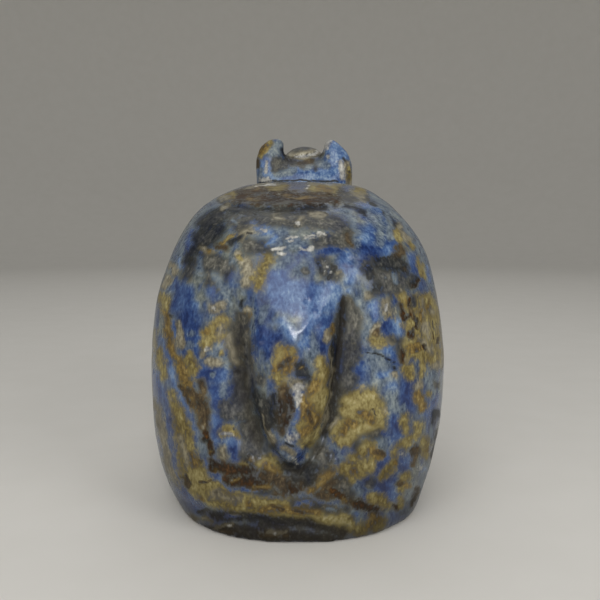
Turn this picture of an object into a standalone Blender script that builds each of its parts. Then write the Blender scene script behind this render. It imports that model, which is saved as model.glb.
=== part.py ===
# Stone conopa: a standing alpaca carved from one block of sodalite, with an offering cavity in its back.
# Metres, +Z up. The animal faces +Y, and the origin is in the middle of its length and width, at the foot.

import math

import bmesh
import bpy
import numpy as np
from mathutils import Vector

# Overall size.
LENGTH = 0.107
WIDTH = 0.0658
HEIGHT = 0.0862
BACK_HEIGHT = 0.0719

# Offering cavity, turned straight down into the back.
CAVITY_DIAMETER = 0.020
CAVITY_DEPTH = 0.024
CAVITY_ACROSS = 0.0009
CAVITY_AHEAD = 0.0075
CAVITY_FLOOR_ROUND = 0.006

# Low arch under the belly, between the hind and the fore leg block.
ARCH_LENGTH = 0.034
ARCH_HEIGHT = 0.0072
ARCH_AHEAD = -0.0075
ARCH_CORNER = 0.0050

# Neck, with the nape behind the ears.
HEAD_ACROSS = 0.0018
NECK_WIDTH = 0.0284
NECK_DEPTH = 0.0220
NECK_AHEAD = 0.0320
NAPE_HEIGHT = 0.0780

# Tuft of wool on the forehead.
TUFT_HEIGHT = 0.0846
TUFT_AHEAD = 0.0350
TUFT_WIDTH = 0.0150
TUFT_LENGTH = 0.0120
TUFT_THICKNESS = 0.0144

# Ears.
EAR_FOOT = 0.0740
EAR_AHEAD = 0.0285
EAR_THICKNESS = 0.0085

# Eyes and mouth.
EYE_DIAMETER = 0.0042
EYE_AHEAD = 0.0400
EYE_HEIGHT = 0.0752
EYE_RISE = 0.0007
MOUTH_HEIGHT = 0.0664
MOUTH_LENGTH = 0.0080
MOUTH_WIDTH = 0.0013
MOUTH_DEPTH = 0.0006

# Tail in relief, with a groove on each side.
TAIL_TOP = 0.0500
TAIL_TIP = 0.0162
TAIL_ACROSS = -0.0014
TAIL_WIDTH = 0.0184
TAIL_RISE = 0.0027
TAIL_EDGE = 0.0030
TAIL_GROOVE_DEPTH = 0.0026
TAIL_GROOVE_WIDTH = 0.0070

# Facet ground on top of the rump behind the cavity, standing proud at its lower edge.
FACET_HEIGHT = 0.0648
FACET_STEP = 0.0005
FACET_EDGE = 0.0009

# Shallow groove above the foot, at the rear.
FOOT_GROOVE_HEIGHT = 0.0042
FOOT_GROOVE_DEPTH = 0.0009
FOOT_GROOVE_WIDTH = 0.0030

# Front of the thigh and of the shoulder, cut into each flank: how far ahead and how high their centres are.
THIGH_PLACE = (-0.0245, 0.0200)
THIGH_RADIUS = 0.0250
SHOULDER_PLACE = (0.0230, 0.0230)
SHOULDER_RADIUS = 0.0180
LIMB_GROOVE_DEPTH = 0.0008
LIMB_GROOVE_WIDTH = 0.0050

# Split between the forelegs.
FORELEG_SPLIT_HEIGHT = 0.0180
FORELEG_SPLIT_DEPTH = 0.0014
FORELEG_SPLIT_WIDTH = 0.0040

# Facet ground at the right rear corner of the foot: how far its plane is from the origin, and its slant.
CORNER_REACH = 0.0380
CORNER_FACING = Vector((0.62, -0.62, -0.48)).normalized()

# Fineness of the faceted surface.
VOXEL = 0.0011
SMOOTHING = 6
TRIANGLES = 9300
RING_POINTS = 96
CAVITY_SEGMENTS = 48

# Body outline: each row is a share of BACK_HEIGHT, then where the rump and the chest are, as a share of
# LENGTH counted from the tail, and where the body is widest.
BODY = (
    (0.0, 0.036, 0.855, 0.285),
    (0.06, 0.030, 0.862, 0.289),
    (0.17, 0.026, 0.880, 0.298),
    (0.34, 0.025, 0.900, 0.312),
    (0.51, 0.031, 0.912, 0.325),
    (0.68, 0.048, 0.900, 0.343),
    (0.77, 0.070, 0.870, 0.356),
    (0.845, 0.110, 0.828, 0.374),
    (0.897, 0.166, 0.790, 0.399),
    (0.946, 0.283, 0.730, 0.450),
    (0.98, 0.385, 0.640, 0.490),
    (1.0, 0.485, 0.540, 0.510),
)

# Half width of the body on its left and on its right, as a share of half the WIDTH.
FLANKS = (
    (0.0, 0.790, 0.812),
    (0.06, 0.866, 0.858),
    (0.17, 0.952, 0.931),
    (0.30, 0.985, 0.982),
    (0.45, 0.995, 0.996),
    (0.60, 0.968, 0.962),
    (0.77, 0.855, 0.877),
    (0.894, 0.708, 0.698),
    (0.946, 0.578, 0.592),
    (0.98, 0.420, 0.476),
    (1.0, 0.220, 0.256),
)

# Head outline along the muzzle: distance ahead of the origin, height of the middle, half height, half width.
HEAD = (
    (0.0225, 0.0700, 0.0040, 0.0090),
    (0.0265, 0.0712, 0.0068, 0.0128),
    (0.0335, 0.0728, 0.0088, 0.0128),
    (0.0400, 0.0716, 0.0086, 0.0108),
    (0.0460, 0.0694, 0.0070, 0.0082),
    (0.0510, 0.0680, 0.0056, 0.0068),
    (0.0535, 0.0676, 0.0034, 0.0044),
)

# Ears seen from behind: a share of the ear's height, then its two edges, measured from the head's middle.
LEFT_EAR = (
    (0.0, -0.0142, -0.0044),
    (0.25, -0.0142, -0.0052),
    (0.55, -0.0140, -0.0060),
    (0.75, -0.0132, -0.0060),
    (0.88, -0.0118, -0.0050),
    (1.0, -0.0096, -0.0062),
)
RIGHT_EAR = (
    (0.0, 0.0046, 0.0142),
    (0.25, 0.0050, 0.0142),
    (0.55, 0.0052, 0.0134),
    (0.75, 0.0053, 0.0116),
    (0.88, 0.0055, 0.0100),
    (1.0, 0.0062, 0.0082),
)

RIGHT = Vector((1, 0, 0))
AHEAD = Vector((0, 1, 0))
UP = Vector((0, 0, 1))


# A column of a table at a place along it, on a smooth curve through its points that never overshoots them.
def along(table, place, column):
    at = np.array([row[0] for row in table])
    value = np.array([row[column] for row in table])
    step = np.diff(at)
    slope = np.diff(value) / step
    bend = np.zeros(len(at))
    same_way = slope[:-1] * slope[1:] > 0
    before, after = slope[:-1][same_way], slope[1:][same_way]
    bend[1:-1][same_way] = 2 * before * after / (before + after)
    bend[0], bend[-1] = slope[0], slope[-1]
    place = np.clip(place, at[0], at[-1])
    i = np.clip(np.searchsorted(at, place, side="right") - 1, 0, len(step) - 1)
    t = (place - at[i]) / step[i]
    start = value[i] * (1 + 2 * t) * (1 - t) ** 2 + bend[i] * step[i] * t * (1 - t) ** 2
    end = value[i + 1] * t * t * (3 - 2 * t) - bend[i + 1] * step[i] * t * t * (1 - t)
    return start + end


def smooth_step(low, high, value):
    t = np.clip((value - low) / (high - low), 0, 1)
    return t * t * (3 - 2 * t)


# A soft ridge of unit height and the given width, centred where the distance is nought.
def swell(distance, width):
    return np.exp(-((2 * distance / width) ** 2))


# Closed oval in the plane of two directions. Each reach is a pair: on the negative and on the positive side.
def oval(centre, across, ahead, reach_across, reach_ahead, power=2.0):
    points = []
    for i in range(RING_POINTS):
        angle = 2 * math.pi * i / RING_POINTS
        c, s = math.cos(angle), math.sin(angle)
        u = math.copysign(abs(c) ** (2 / power), c) * reach_across[c > 0]
        v = math.copysign(abs(s) ** (2 / power), s) * reach_ahead[s > 0]
        points.append(Vector(centre) + across * u + ahead * v)
    return points


# Closed surface through a row of ovals, capped at both ends.
def add_loft(bm, rings):
    loops = [[bm.verts.new(point) for point in ring] for ring in rings]
    for low, high in zip(loops, loops[1:]):
        for i in range(RING_POINTS):
            j = (i + 1) % RING_POINTS
            bm.faces.new((low[i], low[j], high[j], high[i]))
    bm.faces.new(loops[0][::-1])
    bm.faces.new(loops[-1])


# Body: ovals stacked from just under the foot to the back.
def add_body(bm):
    rings = []
    for share in 1 - (1 - np.linspace(0.0, 1.0, 64)) ** 1.6:
        rear, front, middle = (LENGTH * (along(BODY, share, column) - 0.5) for column in (1, 2, 3))
        left, right = (WIDTH / 2 * along(FLANKS, share, column) for column in (1, 2))
        height = share * BACK_HEIGHT
        centre = (0, middle, height)
        rings.append(oval(centre, RIGHT, AHEAD, (left, right), (middle - rear, front - middle), 2.2))
    sole = [point - UP * 2 * VOXEL for point in rings[0]]
    add_loft(bm, [sole] + rings)


# Neck: ovals stacked from inside the body to the nape, which is rounded over.
def add_neck(bm):
    rings = []
    foot = 0.6 * BACK_HEIGHT
    for t in np.linspace(0, 1, 30):
        flare = 1 + 0.12 * (1 - smooth_step(0.0, 0.9, t))
        rounding = 0.65 + 0.35 * math.sqrt(1 - max(0.0, (t - 0.8) / 0.2) ** 2)
        width, depth = NECK_WIDTH / 2 * flare * rounding, NECK_DEPTH / 2 * rounding
        centre = (HEAD_ACROSS, NECK_AHEAD, foot + (NAPE_HEIGHT - foot) * t)
        rings.append(oval(centre, RIGHT, AHEAD, (width, width), (depth, depth), 2.5))
    add_loft(bm, rings)


def add_head(bm):
    rings = []
    for ahead in np.linspace(HEAD[0][0], HEAD[-1][0], 40):
        height, rise, width = (along(HEAD, ahead, column) for column in (1, 2, 3))
        rings.append(oval((HEAD_ACROSS, ahead, height), RIGHT, UP, (width, width), (rise, rise), 2.3))
    add_loft(bm, rings)


# Tuft of wool: a flattened ball.
def add_tuft(bm):
    rings = []
    for angle in np.linspace(0.03, math.pi - 0.03, 24):
        width, length = TUFT_WIDTH / 2 * math.sin(angle), TUFT_LENGTH / 2 * math.sin(angle)
        height = TUFT_HEIGHT - TUFT_THICKNESS / 2 * (1 - math.cos(angle))
        rings.append(oval((HEAD_ACROSS, TUFT_AHEAD, height), RIGHT, AHEAD, (width, width), (length, length)))
    add_loft(bm, rings)


def add_ear(bm, edges):
    rings = []
    for t in np.linspace(0, 1, 24):
        inner, outer = along(edges, t, 1), along(edges, t, 2)
        centre = (HEAD_ACROSS + (inner + outer) / 2, EAR_AHEAD, EAR_FOOT + (HEIGHT - EAR_FOOT) * t)
        width, depth = (outer - inner) / 2, EAR_THICKNESS / 2 * math.sqrt(1.02 - t * t)
        rings.append(oval(centre, RIGHT, AHEAD, (width, width), (depth, depth), 2.4))
    add_loft(bm, rings)


def new_object(name, bm):
    bmesh.ops.recalc_face_normals(bm, faces=bm.faces)
    mesh = bpy.data.meshes.new(name)
    bm.to_mesh(mesh)
    bm.free()
    thing = bpy.data.objects.new(name, mesh)
    bpy.context.collection.objects.link(thing)
    return thing


def new_cutter(name, bm):
    cutter = new_object(name, bm)
    cutter.hide_render = True
    cutter.display_type = "WIRE"
    return cutter


# Cutter for the belly arch: its outline with round upper corners, drawn out across the body.
def arch_cutter():
    bm = bmesh.new()
    reach = ARCH_LENGTH / 2
    outline = [(-reach, -ARCH_HEIGHT), (reach, -ARCH_HEIGHT)]
    for side in (1, -1):
        for i in range(7):
            angle = math.pi / 2 * (i if side > 0 else 6 - i) / 6
            outline.append((side * (reach - ARCH_CORNER * (1 - math.cos(angle))),
                            ARCH_HEIGHT - ARCH_CORNER * (1 - math.sin(angle))))
    start = [bm.verts.new((-WIDTH, ARCH_AHEAD + y, z)) for y, z in outline]
    side = bm.faces.new(start)
    drawn = bmesh.ops.extrude_face_region(bm, geom=[side])
    far = [item for item in drawn["geom"] if isinstance(item, bmesh.types.BMVert)]
    bmesh.ops.translate(bm, verts=far, vec=RIGHT * 2 * WIDTH)
    return new_cutter("arch_cutter", bm)


# Cutter for the offering cavity, turned from its profile.
def cavity_cutter():
    radius = CAVITY_DIAMETER / 2
    floor = BACK_HEIGHT - CAVITY_DEPTH
    mouth = BACK_HEIGHT + CAVITY_DIAMETER / 4
    profile = [(0, mouth), (radius, mouth)]
    for i in range(7):
        angle = math.pi / 2 * i / 6
        profile.append((radius - CAVITY_FLOOR_ROUND * (1 - math.cos(angle)),
                        floor + CAVITY_FLOOR_ROUND * (1 - math.sin(angle))))
    profile.append((0, floor))
    bm = bmesh.new()
    verts = [bm.verts.new((x, 0, z)) for x, z in profile]
    edges = [bm.edges.new(pair) for pair in zip(verts, verts[1:])]
    bmesh.ops.spin(bm, geom=verts + edges, cent=(0, 0, 0), axis=(0, 0, 1), angle=2 * math.pi,
                   steps=CAVITY_SEGMENTS, use_merge=True)
    bmesh.ops.remove_doubles(bm, verts=bm.verts, dist=1e-6)
    cutter = new_cutter("cavity_cutter", bm)
    cutter.location = (CAVITY_ACROSS, CAVITY_AHEAD, 0)
    return cutter


# The block roughed out: all its masses fused into one skin, the arch cut, and the surface rubbed smooth.
def rough_block():
    bm = bmesh.new()
    add_body(bm)
    add_neck(bm)
    add_head(bm)
    add_tuft(bm)
    add_ear(bm, LEFT_EAR)
    add_ear(bm, RIGHT_EAR)
    block = new_object("conopa", bm)
    fuse = block.modifiers.new("fuse", "REMESH")
    fuse.mode = "VOXEL"
    fuse.voxel_size = VOXEL
    arch = block.modifiers.new("belly arch", "BOOLEAN")
    arch.operation = "DIFFERENCE"
    arch.object = arch_cutter()
    even = block.modifiers.new("even skin", "REMESH")
    even.mode = "VOXEL"
    even.voxel_size = VOXEL
    rub = block.modifiers.new("rub smooth", "SMOOTH")
    rub.factor = 0.5
    rub.iterations = SMOOTHING
    settle(block)
    return block


# Puts the shape that an object's modifiers give into its mesh.
def settle(block):
    graph = bpy.context.evaluated_depsgraph_get()
    old = block.data
    mesh = bpy.data.meshes.new_from_object(block.evaluated_get(graph))
    block.modifiers.clear()
    block.data = mesh
    bpy.data.meshes.remove(old)
    mesh.name = block.name


def points_of(mesh):
    points = np.empty(len(mesh.vertices) * 3)
    mesh.vertices.foreach_get("co", points)
    return points.reshape(-1, 3)


def normals_of(mesh):
    normals = np.empty(len(mesh.vertices) * 3)
    mesh.vertex_normals.foreach_get("vector", normals)
    return normals.reshape(-1, 3)


def put_points(mesh, points):
    mesh.vertices.foreach_set("co", points.ravel())
    mesh.update()


# Tail, standing out towards its tip, and the groove around it, as a height over the rump.
def tail_relief(p, n):
    t = (TAIL_TOP - p[:, 2]) / (TAIL_TOP - TAIL_TIP)
    across = np.abs(p[:, 0] - TAIL_ACROSS)
    half = TAIL_WIDTH / 2 * np.sqrt(1 - np.clip(t, 0, 1) ** 2.6)
    outside = np.where(t < 1, across - half, np.hypot(across, TAIL_TIP - p[:, 2]))
    tail = TAIL_RISE * smooth_step(0.0, 0.85, t) * smooth_step(-0.2 * TAIL_EDGE, TAIL_EDGE, -outside)
    groove = swell(outside - 0.2 * TAIL_GROOVE_WIDTH, TAIL_GROOVE_WIDTH)
    groove *= TAIL_GROOVE_DEPTH * smooth_step(-0.12, 0.30, t) * (1 - 0.6 * smooth_step(0.85, 1.05, t))
    return (tail - groove) * smooth_step(0.2, 0.6, -n[:, 1])


# Lower edge of the facet on the rump: a step, with a fine groove under it.
def facet_relief(p, n):
    above = p[:, 2] - FACET_HEIGHT
    step = smooth_step(-FACET_EDGE, FACET_EDGE, above) * (1 - smooth_step(2, 5, above / FACET_EDGE))
    return FACET_STEP * (step - swell(above + FACET_EDGE, 2 * FACET_EDGE)) * smooth_step(0.25, 0.45, -n[:, 1])


def foot_groove(p, n):
    low = swell(p[:, 2] - FOOT_GROOVE_HEIGHT, FOOT_GROOVE_WIDTH)
    return -FOOT_GROOVE_DEPTH * low * smooth_step(0.3, 0.7, -n[:, 1])


# Curved groove that sets the front of a limb off the flank.
def limb_groove(p, n, place, radius, first, last):
    y, z = p[:, 1] - place[0], p[:, 2] - place[1]
    angle = np.degrees(np.arctan2(z, y))
    part = smooth_step(first - 20, first + 20, angle) * (1 - smooth_step(last - 20, last + 20, angle))
    line = swell(np.hypot(y, z) - radius, LIMB_GROOVE_WIDTH) * part
    return -LIMB_GROOVE_DEPTH * line * smooth_step(0.3, 0.7, np.abs(n[:, 0]))


def foreleg_split(p, n):
    line = swell(p[:, 0], FORELEG_SPLIT_WIDTH) * (1 - smooth_step(0.7, 1.1, p[:, 2] / FORELEG_SPLIT_HEIGHT))
    on_chest = smooth_step(0.4, 0.8, n[:, 1]) * (p[:, 1] > ARCH_AHEAD + ARCH_LENGTH / 2)
    return -FORELEG_SPLIT_DEPTH * line * on_chest


# Eyeballs, each in a shallow ring.
def eyes(p, n):
    off = np.hypot(p[:, 1] - EYE_AHEAD, p[:, 2] - EYE_HEIGHT)
    ball = np.clip(1 - (2 * off / EYE_DIAMETER) ** 2, 0, 1)
    ring = 0.6 * swell(off - 0.62 * EYE_DIAMETER, EYE_DIAMETER / 3)
    return EYE_RISE * (ball - ring) * smooth_step(0.3, 0.6, np.abs(n[:, 0]))


def mouth(p, n):
    back = LENGTH / 2 - p[:, 1]
    line = swell(p[:, 2] - MOUTH_HEIGHT - 0.1 * back, MOUTH_WIDTH)
    return -MOUTH_DEPTH * line * (1 - smooth_step(0.85, 1.1, back / MOUTH_LENGTH))


# Grinds off what stands beyond a plane.
def grind(p, reach, facing):
    over = np.clip(p @ np.array(facing) - reach, 0, None)
    return p - over[:, None] * np.array(facing)


def carve(block):
    mesh = block.data
    p, n = points_of(mesh), normals_of(mesh)
    relief = tail_relief(p, n) + facet_relief(p, n) + foot_groove(p, n)
    relief += limb_groove(p, n, THIGH_PLACE, THIGH_RADIUS, -25, 62)
    relief += limb_groove(p, n, SHOULDER_PLACE, SHOULDER_RADIUS, 100, 205)
    relief += foreleg_split(p, n) + eyes(p, n) + mouth(p, n)
    put_points(mesh, grind(p + n * relief[:, None], CORNER_REACH, CORNER_FACING))


# Centres the figure over the origin and cuts its feet flat.
def stand(block):
    p = points_of(block.data)
    p[:, :2] -= (p.min(axis=0) + p.max(axis=0))[:2] / 2
    put_points(block.data, p)
    bm = bmesh.new()
    bm.from_mesh(block.data)
    cut = bmesh.ops.bisect_plane(bm, geom=bm.verts[:] + bm.edges[:] + bm.faces[:],
                                 plane_co=(0, 0, 0), plane_no=UP, clear_inner=True)
    rims = [item for item in cut["geom_cut"] if isinstance(item, bmesh.types.BMEdge)]
    bmesh.ops.contextual_create(bm, geom=rims)
    bm.to_mesh(block.data)
    bm.free()


def thin_out(block):
    facets = block.modifiers.new("facets", "DECIMATE")
    facets.ratio = TRIANGLES / (2 * len(block.data.polygons))
    settle(block)


def polished_sodalite():
    stone = bpy.data.materials.new("polished sodalite")
    stone.use_nodes = True
    shader = stone.node_tree.nodes["Principled BSDF"]
    shader.inputs["Base Color"].default_value = (0.10, 0.13, 0.22, 1)
    shader.inputs["Roughness"].default_value = 0.35
    shader.inputs["Metallic"].default_value = 0.0
    return stone


def main():
    for old in list(bpy.data.objects):
        bpy.data.objects.remove(old)
    block = rough_block()
    carve(block)
    thin_out(block)
    stand(block)
    block.data.materials.append(polished_sodalite())
    cavity = block.modifiers.new("offering cavity", "BOOLEAN")
    cavity.operation = "DIFFERENCE"
    cavity.object = cavity_cutter()
    block.data.shade_smooth()
    block.data.set_sharp_from_angle(angle=math.radians(40))


main()
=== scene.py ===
import math

import bmesh
import bpy
import numpy as np
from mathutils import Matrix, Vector, noise


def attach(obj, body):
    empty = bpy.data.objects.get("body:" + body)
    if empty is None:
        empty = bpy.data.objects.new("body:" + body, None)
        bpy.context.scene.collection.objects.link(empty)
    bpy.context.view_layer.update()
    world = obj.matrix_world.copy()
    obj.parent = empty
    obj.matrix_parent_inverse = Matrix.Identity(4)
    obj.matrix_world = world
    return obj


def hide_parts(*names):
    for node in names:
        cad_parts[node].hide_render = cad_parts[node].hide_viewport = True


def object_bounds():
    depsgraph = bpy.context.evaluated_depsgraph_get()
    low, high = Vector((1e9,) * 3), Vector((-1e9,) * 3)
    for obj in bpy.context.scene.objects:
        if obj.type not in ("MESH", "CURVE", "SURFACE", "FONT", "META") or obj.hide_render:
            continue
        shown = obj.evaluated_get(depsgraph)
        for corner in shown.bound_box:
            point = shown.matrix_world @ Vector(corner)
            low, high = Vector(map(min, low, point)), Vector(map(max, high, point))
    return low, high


# Stone conopa seen from behind: a standing alpaca carved from one block of polished sodalite.
# Metres in the scene, millimetres in the dictionaries. The animal faces +Y.

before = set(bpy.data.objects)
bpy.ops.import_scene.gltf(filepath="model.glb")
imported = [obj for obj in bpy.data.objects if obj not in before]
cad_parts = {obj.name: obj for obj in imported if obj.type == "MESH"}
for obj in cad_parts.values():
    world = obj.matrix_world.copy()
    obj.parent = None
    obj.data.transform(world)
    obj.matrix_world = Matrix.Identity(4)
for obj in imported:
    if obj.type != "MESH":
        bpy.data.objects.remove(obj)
cadBox = [list(corner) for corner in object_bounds()]
print("stage 1: frame loaded,", round(1000 * (cadBox[1][1] - cadBox[0][1]), 1), "mm long")

mm = 0.001

photoView = {
    "eye": (0.5, -180.2, 61.0),  # mm: it looks from behind the stone, a little above its middle
    "frame": 600.0,  # pixels across and down
    "focalLength": 710.0,  # pixels
    "lookDown": math.atan(75 / 710),  # the horizon lies 75 pixels above the middle of the frame
    "pixelSize": 0.186,  # mm that a pixel covers on the rump
}


def smoothStep(low, high, value):
    t = np.clip((value - low) / (high - low), 0, 1)
    return t * t * (3 - 2 * t)


def swell(distance, width):  # a soft ridge, 1 high in its middle
    return np.exp(-((2 * distance / width) ** 2))


def linear(hexColour):  # sRGB hex to the linear values that Blender's sockets take
    parts = [int(hexColour[i:i + 2], 16) / 255 for i in (1, 3, 5)]
    return [c / 12.92 if c <= 0.04045 else ((c + 0.055) / 1.055) ** 2.4 for c in parts] + [1]


# Gives a node's inputs their values or links. A node among them stands for its first output.
def feed(tree, node, inputs):
    for socket, value in inputs.items():
        if isinstance(value, bpy.types.Node):
            value = value.outputs[0]
        if isinstance(value, bpy.types.NodeSocket):
            tree.links.new(value, node.inputs[socket])
        else:
            node.inputs[socket].default_value = value


# Adds a node with its settings and its inputs' values or links.
def addNode(tree, kind, inputs=None, **settings):
    node = tree.nodes.new(kind)
    for name, value in settings.items():
        setattr(node, name, value)
    feed(tree, node, inputs or {})
    return node


eased = {"interpolation_type": "SMOOTHSTEP"}  # for a map range


def pointsOf(mesh):  # in mm
    points = np.empty(len(mesh.vertices) * 3)
    mesh.vertices.foreach_get("co", points)
    return points.reshape(-1, 3) / mm


def normalsOf(mesh):
    normals = np.empty(len(mesh.vertices) * 3)
    mesh.vertex_normals.foreach_get("vector", normals)
    return normals.reshape(-1, 3)


# Moves a mesh's points, given in mm, and keeps them inside the solids' box.
def putPoints(mesh, points):
    low, high = np.array(cadBox) / mm
    mesh.vertices.foreach_set("co", (np.clip(points, low, high) * mm).ravel())
    mesh.update()


# The pixel of the photograph, across and down, at which the eye sees each point.
def pixelOf(points):
    right, ahead, up = (points - np.array(photoView["eye"])).T
    tilt = photoView["lookDown"]
    scale = photoView["focalLength"] / (ahead * math.cos(tilt) - up * math.sin(tilt))
    middle = photoView["frame"] / 2
    return middle + scale * right, middle - scale * (ahead * math.sin(tilt) + up * math.cos(tilt))


# How squarely each point faces the eye, from -1 to 1.
def facing(points, normals):
    sight = np.array(photoView["eye"]) - points
    return (sight * normals).sum(axis=1) / np.linalg.norm(sight, axis=1)


# How much of each point belongs to the head or the face, from 0 to 1, past two stretches ahead and up.
def shareOfHead(points, begins):
    ahead, up = begins
    return smoothStep(*ahead, points[:, 1]) * smoothStep(*up, points[:, 2])


# Distance inside a stroke: its points are two places and a half width, joined by tapering lines.
def insideStroke(u, v, stroke):
    if len(stroke) == 1:
        return stroke[0][2] - np.hypot(u - stroke[0][0], v - stroke[0][1])
    inside = np.full(u.shape, -999.0)
    for (startU, startV, startHalf), (endU, endV, endHalf) in zip(stroke, stroke[1:]):
        runU, runV = endU - startU, endV - startV
        t = np.clip(((u - startU) * runU + (v - startV) * runV) / (runU * runU + runV * runV), 0, 1)
        gap = np.hypot(u - startU - t * runU, v - startV - t * runV)
        inside = np.maximum(inside, startHalf + t * (endHalf - startHalf) - gap)
    return inside


def newObject(name, data):
    thing = bpy.data.objects.new(name, data)
    bpy.context.scene.collection.objects.link(thing)
    return thing


# Sets an object's mesh to what its modifiers make of it.
def applyModifiers(thing):
    graph = bpy.context.evaluated_depsgraph_get()
    mesh = bpy.data.meshes.new_from_object(thing.evaluated_get(graph))
    old = thing.data
    thing.modifiers.clear()
    thing.data = mesh
    bpy.data.meshes.remove(old)
    mesh.name = thing.name
    return mesh


stoneForm = {
    "pointSpacing": 0.86,  # mm between the points of the skin, halved on the rump and the head
    "bodyRubs": 9,  # passes that rub the solid's flats into one curve
    "headRubs": 2,
    "fineRubs": 4,
    "rubStrength": 0.5,  # share of the way to its neighbours' middle that a pass moves a point
    "rubLevels": 8,  # steps between the body's rubbing and the head's
    "mergeWithin": 0.0001,  # mm
    "headBegins": ((14, 18), (70, 74)),  # mm ahead and up over which the body gives way to the head
    "fineHead": (15, 67),  # mm ahead and up past which the points are finer
    "fineRump": (0.12, -1),  # least facing to the eye, and mm ahead up to which they are
    "fineTop": (0.02, 62),  # least facing to the eye, and mm up past which they are
    "carvedFacing": (0.03, 0.15),  # facing to the eye over which the carved lines come in
    "ground": {  # unevenness of a surface ground by hand, in mm, and the share of cells with a pit
        "Wave Height": 0.16,
        "Wave Size": 7.5,
        "Ripple Height": 0.05,
        "Ripple Size": 2.2,
        "Pit Depth": 0.16,
        "Pit Size": 1.7,
        "Pit Share": 0.13,
    },
    "pitWall": (0.12, 0.42),  # share of a pit's cell between its floor and its rim
    "flatFoot": (0.05, 1.2),  # mm up over which the unevenness comes in
}


def rubSmooth(stone, part):
    rub = stone.modifiers.new(part + " rubbed", "SMOOTH")
    rub.factor = stoneForm["rubStrength"]
    rub.iterations = stoneForm[part + "Rubs"]
    return rub


# The skin: a merged copy of the solid with even, fine points, rubbed smooth.
def skinOfStone():
    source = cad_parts["conopa"]
    merged = bmesh.new()
    merged.from_mesh(source.data)
    bmesh.ops.remove_doubles(merged, verts=merged.verts, dist=stoneForm["mergeWithin"] * mm)
    mesh = bpy.data.meshes.new("carvedStone")
    merged.to_mesh(mesh)
    merged.free()
    stone = newObject("carvedStone", mesh)
    even = stone.modifiers.new("even points", "REMESH")
    even.mode = "VOXEL"
    even.voxel_size = stoneForm["pointSpacing"] * mm
    even.use_smooth_shade = True
    mesh = applyModifiers(stone)
    isHead = shareOfHead(pointsOf(mesh), stoneForm["headBegins"])
    levels = stoneForm["rubLevels"]
    for name, share in (("body", 1 - isHead), ("head", isHead)):
        group = stone.vertex_groups.new(name=name)
        for level in range(1, levels + 1):
            chosen = np.nonzero(np.round(share * levels) == level)[0]
            group.add(chosen.tolist(), level / levels, "REPLACE")
        rubSmooth(stone, name).vertex_group = name
    mesh = applyModifiers(stone)
    stone.vertex_groups.clear()
    points = pointsOf(mesh)
    turned = facing(points, normalsOf(mesh))
    ahead, up = points[:, 1], points[:, 2]
    headAhead, headUp = stoneForm["fineHead"]
    rumpFacing, rumpAhead = stoneForm["fineRump"]
    topFacing, topUp = stoneForm["fineTop"]
    isFine = (ahead > headAhead) & (up > headUp)
    isFine |= (turned > rumpFacing) & (ahead < rumpAhead)
    isFine |= (turned > topFacing) & (up > topUp)
    finer = bmesh.new()
    finer.from_mesh(mesh)
    cut = [edge for edge in finer.edges if isFine[edge.verts[0].index] and isFine[edge.verts[1].index]]
    bmesh.ops.subdivide_edges(finer, edges=cut, cuts=1, use_grid_fill=True)
    finer.to_mesh(mesh)
    finer.free()
    rubSmooth(stone, "fine")
    applyModifiers(stone)
    return stone


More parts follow.
